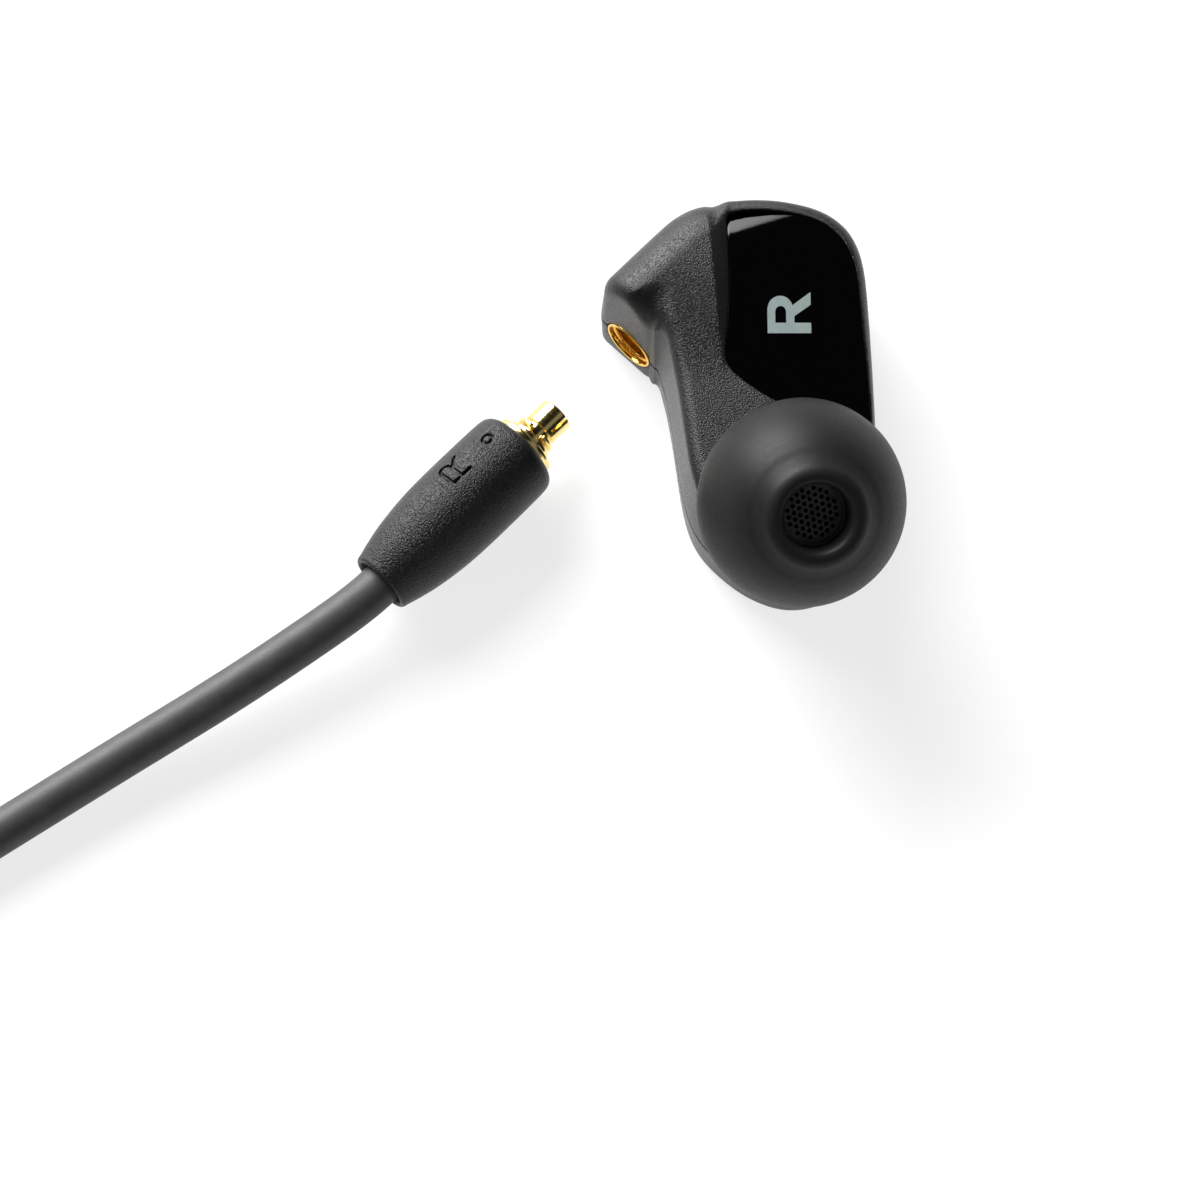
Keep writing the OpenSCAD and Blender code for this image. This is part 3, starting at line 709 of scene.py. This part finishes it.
# ---------------------------------------------------------------- socket and plug
def socket_ring():
    """The socket's gold body and its centre contact."""
    profile = [
        (1.45, 4.3), (1.45, 1.62), (1.43, 1.6), (1.29, 1.6), (1.27, 1.58), (1.27, 1.08), (1.3, 1.05),
        (1.61, 1.05), (1.63, 1.03), (1.63, 0.58), (1.61, 0.56), (1.48, 0.56), (1.46, 0.54), (1.46, 0.45),
        (1.48, 0.42), (1.62, 0.42), (1.66, 0.38), (1.66, 0.05), (1.69, 0.0), (1.77, -0.02), (1.82, 0.02),
        (1.85, 0.1), (1.85, 1.2), (2.28, 1.22), (2.3, 1.26), (2.3, 1.62), (2.28, 1.66), (1.6, 1.68),
        (1.6, 4.3)]
    ob = lathe("socket_ring", profile, JACK, GOLD_DEEP, 160)
    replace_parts(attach(ob, "earpiece"), "jack_shell")
    sharp_by_angle(ob)
    contact = lathe("socket_contact", [
        (0.24, 3.2), (0.24, 1.74), (0.28, 1.66), (0.37, 1.66), (0.42, 1.72), (0.42, 5), (0, 5), (0, 3.2)],
        JACK, GOLD, 64)
    sharp_by_angle(contact)
    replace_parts(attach(contact, "earpiece"), "jack_contact")


def sharp_by_angle(ob, degrees=38):
    """Marks hard edges so that turned steps look crisp."""
    bm = bmesh.new()
    bm.from_mesh(ob.data)
    for e in bm.edges:
        if len(e.link_faces) == 2:
            e.smooth = e.calc_face_angle(0) < math.radians(degrees)
    bm.to_mesh(ob.data)
    bm.free()


SLOT_PLACE = math.radians(48)  # how far round from the top the barrel's two slots lie
SLOT_HALF = 0.1
SLOT_FLOOR = 1.5


def plug_metal():
    """The plug's gold body: a turned piece, and in front of it the two halves that the slots leave."""
    turned = [
        (0.62, SLOT_FLOOR), (1.17, SLOT_FLOOR), (1.17, 1.28), (1.14, 1.25), (0.99, 1.25), (0.96, 1.22),
        (0.96, 0.58), (0.99, 0.55), (1.14, 0.55), (1.17, 0.52), (1.17, 0.42), (1.22, 0.37), (1.53, 0.37),
        (1.58, 0.35), (1.6, 0.3), (1.6, 0.05), (1.65, 0), (2.04, 0), (2.12, -0.03), (2.17, -0.09),
        (2.18, -0.16), (2.18, -0.39), (2.14, -0.47), (1.5, -0.47), (1.5, -3), (1.1, -3), (1.1, -5),
        (0.42, -5), (0.42, -1), (0.62, -1)]
    body = lathe("plug_barrel_skin", turned, PLUG, GOLD, 224)
    section = [
        (0.62, SLOT_FLOOR), (1.17, SLOT_FLOOR), (1.17, 2.76), (1.155, 2.84), (1.11, 2.885), (1.03, 2.9),
        (0.76, 2.9), (0.68, 2.885), (0.635, 2.84), (0.62, 2.76)]
    stations, n = 96, len(section)
    halves = []
    for side in (0, math.pi):
        verts = []
        for k in np.linspace(0, 1, stations):
            for r, z in section:
                clear = math.asin(SLOT_HALF / r)
                turn = SLOT_PLACE + side + clear + k * (math.pi - 2 * clear)
                verts.append((r * math.cos(turn), r * math.sin(turn), z))
        faces = [[i * n + j, i * n + (j + 1) % n, (i + 1) * n + (j + 1) % n, (i + 1) * n + j]
                 for i in range(stations - 1) for j in range(n)]
        faces += [list(range(n))[::-1], [(stations - 1) * n + j for j in range(n)]]
        halves.append(new_object("plug_half", PLUG.world(np.array(verts)), faces, GOLD))
        outward(halves[-1])
    joined(body, halves)
    sharp_by_angle(body)
    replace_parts(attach(body, "plug"), "plug_barrel")


def joined(ob, others):
    """Adds the others' meshes to an object and removes them."""
    bm = bmesh.new()
    bm.from_mesh(ob.data)
    for other in others:
        bm.from_mesh(other.data)
        bpy.data.objects.remove(other)
    bm.to_mesh(ob.data)
    bm.free()


def snap_ring():
    """A C of square wire with rounded corners, sprung round the plug's neck."""
    middle, half_wide, half_high, place = 1.205, 0.205, 0.16, 0.815
    stations = 120
    turns = np.linspace(math.radians(35), math.radians(352), stations)
    section = [(half_wide * math.copysign(abs(math.cos(t)) ** 0.6, math.cos(t)),
                half_high * math.copysign(abs(math.sin(t)) ** 0.6, math.sin(t)))
               for t in np.linspace(0, 2 * math.pi, 20, endpoint=False)]
    n = len(section)
    near_end = np.minimum(np.arange(stations), np.arange(stations)[::-1])
    sizes = 0.65 + 0.35 * np.sqrt(1 - (1 - np.minimum(near_end, 3) / 3) ** 2)
    verts = [((middle + dr * k) * math.cos(turn), (middle + dr * k) * math.sin(turn), place + dz * k)
             for turn, k in zip(turns, sizes) for dr, dz in section]
    faces = [[i * n + j, i * n + (j + 1) % n, (i + 1) * n + (j + 1) % n, (i + 1) * n + j]
             for i in range(stations - 1) for j in range(n)]
    faces += [list(range(n))[::-1], [(stations - 1) * n + j for j in range(n)]]
    ob = new_object("snap_ring_skin", PLUG.world(np.array(verts)), faces, GOLD)
    outward(ob)
    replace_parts(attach(ob, "snap_ring"), "snap_ring")


# ---------------------------------------------------------------- boot
BOOT_R = 3.08
BOOT_BACK = -13.3
BOOT_PROFILE = [
    (1.53, -0.5), (2.2, -0.5), (2.62, -0.58), (2.9, -0.86), (3.02, -1.3), (3.06, -2.2), (3.08, -4.2),
    (3.07, -6.6), (3.0, -8.2), (2.86, -9.6), (2.64, -11.0), (2.36, -12.2), (2.18, -12.85),
    (2.12, -13.12), (2.0, -13.28), (1.84, -13.28), (1.74, -13.12), (1.62, -12.7), (1.42, -12.55),
    (1.42, -5.35), (1.53, -5.35)
]
BOOT_ROUND = 15  # points of the profile that a smooth curve runs through; the rest are corners
MARK_PLACE = math.radians(-25)  # how far round from the top the moulded marks sit
MARK_MIDDLE = -5.2  # of the letter, along the boot
MARK_DEPTH = 0.2


def stroke(points, u, v, half):
    """Distance to a line drawn through points, half wide to each side."""
    best = np.full(np.broadcast(u, v).shape, 1e9)
    for (ax, ay), (bx, by) in zip(points, points[1:]):
        ex, ey = bx - ax, by - ay
        t = np.clip(((u - ax) * ex + (v - ay) * ey) / (ex * ex + ey * ey), 0, 1)
        best = np.minimum(best, np.hypot(u - ax - t * ex, v - ay - t * ey))
    return best - half


def boot_field(a, b, s):
    """The boot in the plug's own frame: a from its axis to the top, s towards the socket."""
    r = np.hypot(a, b)
    skin = curve_through(BOOT_PROFILE[:BOOT_ROUND], 5)
    outline = np.concatenate([skin, np.array(BOOT_PROFILE[BOOT_ROUND:])])
    body = revolved_distance(outline, r, s)
    # Marks are drawn on the skin: u runs round the boot and v along it, with the top towards the cable.
    u = (MARK_PLACE - np.arctan2(b, a)) * BOOT_R
    v = MARK_MIDDLE - s
    bowl = [(0.36 + 0.38 * math.sin(t), 0.37 + 0.38 * math.cos(t)) for t in np.linspace(0, math.pi, 14)]
    letter = ([(-0.83, -0.75), (-0.83, 0.75)], [(-0.83, 0.75)] + bowl + [(-0.83, -0.01)],
              [(0.12, -0.01), (0.83, -0.75)])
    lines = np.minimum.reduce([stroke(p, u, v, 0.1) for p in letter])
    dot = np.abs(np.hypot(u + 0.12, v + 2.95) - 0.34) - 0.08
    marks = np.minimum(lines, dot)
    groove = both(both(marks, BOOT_R - MARK_DEPTH - r, 0.03), -a)
    return less(body, groove, 0.03)


def revolved_distance(outline, r, s):
    """Distance to a body of revolution: looked up from a fine table in radius and z."""
    cell = 0.04
    rs = np.arange(0, 4.2, cell)
    zs = np.arange(outline[:, 1].min() - 1, outline[:, 1].max() + 1, cell)
    table = outline_distance(outline, rs[:, None] + 0 * zs[None, :], zs[None, :] + 0 * rs[:, None])
    i = np.clip(r / cell, 0, len(rs) - 1.001)
    j = np.clip((s - zs[0]) / cell, 0, len(zs) - 1.001)
    i0, j0 = i.astype(int), j.astype(int)
    i0, j0 = np.broadcast_arrays(i0, j0)
    fi, fj = i - i0, j - j0
    return ((table[i0, j0] * (1 - fi) + table[i0 + 1, j0] * fi) * (1 - fj)
            + (table[i0, j0 + 1] * (1 - fi) + table[i0 + 1, j0 + 1] * fi) * fj)


def boot():
    half, cell = 3.4, 0.058
    ob = carved("plug_boot_skin", boot_field, (-half, -half, BOOT_BACK - 0.4), (half, half, -0.2), cell, BOOT,
                settle=2, frame_of=PLUG)
    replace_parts(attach(ob, "plug"), "plug_boot")


# ---------------------------------------------------------------- cable
CABLE_R = 1.39
CORE_BORE_R = 0.9
CABLE_TAIL = 15.27  # from the last hinge to the cut end


def cable_path():
    """The cable's centre line: from inside the boot, through each hinge, to the cut end."""
    hinges = [mm(JOINTS[f"cable_bend_{i}"]["pos_m"]) for i in (1, 2, 3, 4)]
    start = PLUG.world(np.array((0, 0, -5.4)))
    rear = PLUG.world(np.array((0, 0, -11.0)))
    heading = unit(mm(MOUNTS["cable_end"]["pos_m"]) - hinges[3])
    end = hinges[3] + heading * CABLE_TAIL
    return curve_through([start, rear] + hinges + [end], 40), hinges


def tube_piece(name, path):
    """A tube with a bore along a path of points."""
    around = 64
    along = np.gradient(path, axis=0)
    along /= np.linalg.norm(along, axis=1)[:, None]
    up = np.array((0, 0, 1.0))
    side = np.cross(along, up)
    side /= np.linalg.norm(side, axis=1)[:, None]
    over = np.cross(side, along)
    turn = np.arange(around) * 2 * math.pi / around
    ring = np.cos(turn)[None, :, None] * side[:, None, :] + np.sin(turn)[None, :, None] * over[:, None, :]
    n = len(path)
    outer = (path[:, None, :] + CABLE_R * ring).reshape(-1, 3)
    inner = (path[:, None, :] + CORE_BORE_R * ring).reshape(-1, 3)
    faces = []
    for i in range(n - 1):
        for j in range(around):
            k = (j + 1) % around
            faces.append([i * around + j, i * around + k, (i + 1) * around + k, (i + 1) * around + j])
            faces.append([n * around + q for q in
                          (i * around + j, (i + 1) * around + j, (i + 1) * around + k, i * around + k)])
    for i in (0, n - 1):
        for j in range(around):
            k = (j + 1) % around
            faces.append([i * around + j, i * around + k, (n + i) * around + k, (n + i) * around + j])
    ob = new_object(name, np.concatenate([outer, inner]), faces, JACKET)
    outward(ob)
    sharp_by_angle(ob, 50)
    return ob


def cable():
    """One smooth jacket in pieces. Each spans one hinge, and they meet midway between hinges.

    How far a bend could spread at each hinge, at most widest points of the path each way, is worked out but not
    used. The first hinge lies at the boot's mouth, where the cable can only bend over a short length.
    """
    path, hinges = cable_path()
    at = [int(np.argmin(np.linalg.norm(path - h, axis=1))) for h in hinges]
    middles = [(a + b) // 2 for a, b in zip(at, at[1:])]
    cuts = [0] + middles + [len(path) - 1]
    widest, share, in_boot = 60, 0.92, 1.3
    nodes = [["cable_jacket_0", "cable_jacket_1"], ["cable_jacket_2"], ["cable_jacket_3"], ["cable_jacket_4"]]
    for k in range(4):
        ob = tube_piece(f"cable_bend_skin_{k + 1}", path[cuts[k]:cuts[k + 1] + 1])
        reach = min(np.linalg.norm(path[at[k]] - path[max(cuts[k], at[k] - widest)]),
                    np.linalg.norm(path[at[k]] - path[min(cuts[k + 1], at[k] + widest)])) * share
        reach = min(reach, in_boot) if k == 0 else reach
        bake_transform(ob)
        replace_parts(ob, *nodes[k])


# ---------------------------------------------------------------- carried-over CAD nodes
def finish_nodes():
    """Looks for the pieces that keep the CAD's own shape."""
    looks = {
        "nozzle": NOZZLE_PLASTIC, "nozzle_mesh": MESH_STEEL, "mesh_ring": MESH_STEEL, "acoustic_damper": FOAM,
        "driver_frame": STEEL, "driver_yoke": STEEL, "driver_magnet": STEEL, "driver_pole_plate": STEEL,
        "driver_cover": STEEL, "driver_terminal": BOARD, "diaphragm": FILM, "voice_coil": COPPER,
        "vent_filter": FOAM, "signal_lead": COPPER, "ground_lead": COPPER, "jack_insulator": WHITE,
        "plug_insulator": WHITE, "plug_pin": GOLD, "crimp_ferrule": STEEL}
    looks.update({f"cable_cores_{i}": COPPER for i in range(5)})
    for name, look in looks.items():
        for s in frame["nodes"][name].material_slots:
            s.material = look


# ---------------------------------------------------------------- studio
def area_light(name, place, aim, size, power):
    """A soft light of a size in mm, at a place and turned to another."""
    data = bpy.data.lights.new(name, "AREA")
    data.shape = "RECTANGLE"
    data.size, data.size_y = size[0] * MM, size[1] * MM
    data.energy = power
    ob = bpy.data.objects.new(name, data)
    ob.location = Vector(place) * MM
    ob.rotation_euler = (Vector(aim) - Vector(place)).to_track_quat("-Z", "Y").to_euler()
    bpy.context.scene.collection.objects.link(ob)


BOX_GLOW = 11.5  # the soft box, with the sky's own brightness as 1
SKY_STRENGTH = 1.25


class Sky:
    """Brightness by direction, for a world: round patches of it over a slow gradient."""

    def __init__(self, tree):
        self.t = tree
        self.where = tree.nodes.new("ShaderNodeTexCoord").outputs["Generated"]

    def math(self, kind, a, b):
        n = self.t.nodes.new("ShaderNodeMath")
        n.operation = kind
        for k, v in enumerate((a, b)):
            if isinstance(v, (int, float)):
                n.inputs[k].default_value = v
            else:
                self.t.links.new(v, n.inputs[k])
        return n.outputs[0]

    def up(self):
        n = self.t.nodes.new("ShaderNodeSeparateXYZ")
        self.t.links.new(self.where, n.inputs[0])
        return n.outputs["Z"]

    def ranged(self, value, low, high, to_low, to_high):
        n = self.t.nodes.new("ShaderNodeMapRange")
        n.interpolation_type = "SMOOTHSTEP"
        for k, v in enumerate((low, high, to_low, to_high)):
            n.inputs[k + 1].default_value = v
        self.t.links.new(value, n.inputs[0])
        return n.outputs[0]

    def cap(self, centre, outer, inner):
        """1 within inner degrees of a direction, falling to 0 at outer degrees."""
        n = self.t.nodes.new("ShaderNodeVectorMath")
        n.operation = "DOT_PRODUCT"
        n.inputs[1].default_value = unit(centre)
        self.t.links.new(self.where, n.inputs[0])
        edges = [math.cos(math.radians(a)) for a in (outer, inner)]
        return self.ranged(n.outputs["Value"], *edges, 0.0, 1.0)

    def times(self, a, b):
        return self.math("MULTIPLY", a, b)

    def plus(self, a, b, share):
        return self.math("ADD", a, self.times(b, share))

    def dimmed(self, value, mask, to):
        """value, brought down to a share of itself where the mask is 1."""
        return self.times(value, self.math("SUBTRACT", 1.0, self.times(mask, 1 - to)))

    def show(self, value, strength):
        back = self.t.nodes["Background"]
        self.t.links.new(self.times(value, strength), back.inputs["Strength"])
        back.inputs["Color"].default_value = (1, 1, 1, 1)


def table():
    """White paper that glows a little, as if lit from below as well."""
    mesh = bpy.data.meshes.new("table")
    half, drop = 3000 * MM, 0.02 * MM
    corners = [(-half, -half, 0), (half, -half, 0), (half, half, 0), (-half, half, 0)]
    mesh.from_pydata(corners, [], [(0, 1, 2, 3)])
    floor = bpy.data.objects.new("table", mesh)
    paper = material("table_paper", (0.28, 0.28, 0.28), 0.9, Emission_Color=(1, 1, 1, 1),
                     Emission_Strength=0.78, Specular_IOR_Level=0.1)
    mesh.materials.append(paper)
    floor.location.z = -drop
    bpy.context.scene.collection.objects.link(floor)


def surround():
    """A dim sky with a dark patch overhead and a bright soft box in the north-west."""
    world = bpy.data.worlds.new("studio")
    bpy.context.scene.world = world
    world.use_nodes = True
    sky = Sky(world.node_tree)
    low = sky.ranged(sky.up(), 0.0, 0.5, 0.22, 0.16)
    over_north = sky.cap((-0.6, 0.8, 0.0), 75, 35)
    low = sky.dimmed(low, sky.times(over_north, sky.ranged(sky.up(), 0.22, 0.42, 1.0, 0.0)), 0.3)
    black = sky.cap((0.0, 0.34, 0.94), 42, 30)  # what a level face shows to the camera
    glow = sky.cap((-0.45, 0.73, 0.51), 26, 19)
    sky.show(sky.plus(sky.dimmed(low, black, 0.03), glow, BOX_GLOW), SKY_STRENGTH)
    area_light("key_softbox", (-260, 260, 330), (-8, -4, 0), (240, 180), 0.35)


def camera():
    """A long lens on the near side, 70 degrees above the table."""
    cam = bpy.data.cameras.new("camera")
    cam.sensor_width = 36
    cam.lens = 117
    cam.clip_start = 0.01
    elevation, away = math.radians(70), 250
    look = Vector((-12, -13, 0))
    place = look + away * Vector((0, -math.cos(elevation), math.sin(elevation)))
    ob = bpy.data.objects.new("camera", cam)
    ob.location = place * MM
    ob.rotation_euler = (look - place).to_track_quat("-Z", "Y").to_euler()
    bpy.context.scene.collection.objects.link(ob)
    bpy.context.scene.camera = ob


def studio():
    table()
    surround()
    camera()
    bpy.context.scene.view_settings.view_transform = "Standard"
    bpy.context.scene.view_settings.look = "None"


housing_pieces()
gloss_panel()
print_mark()
ear_tip()
socket_ring()
plug_metal()
snap_ring()
boot()
cable()
finish_nodes()
studio()
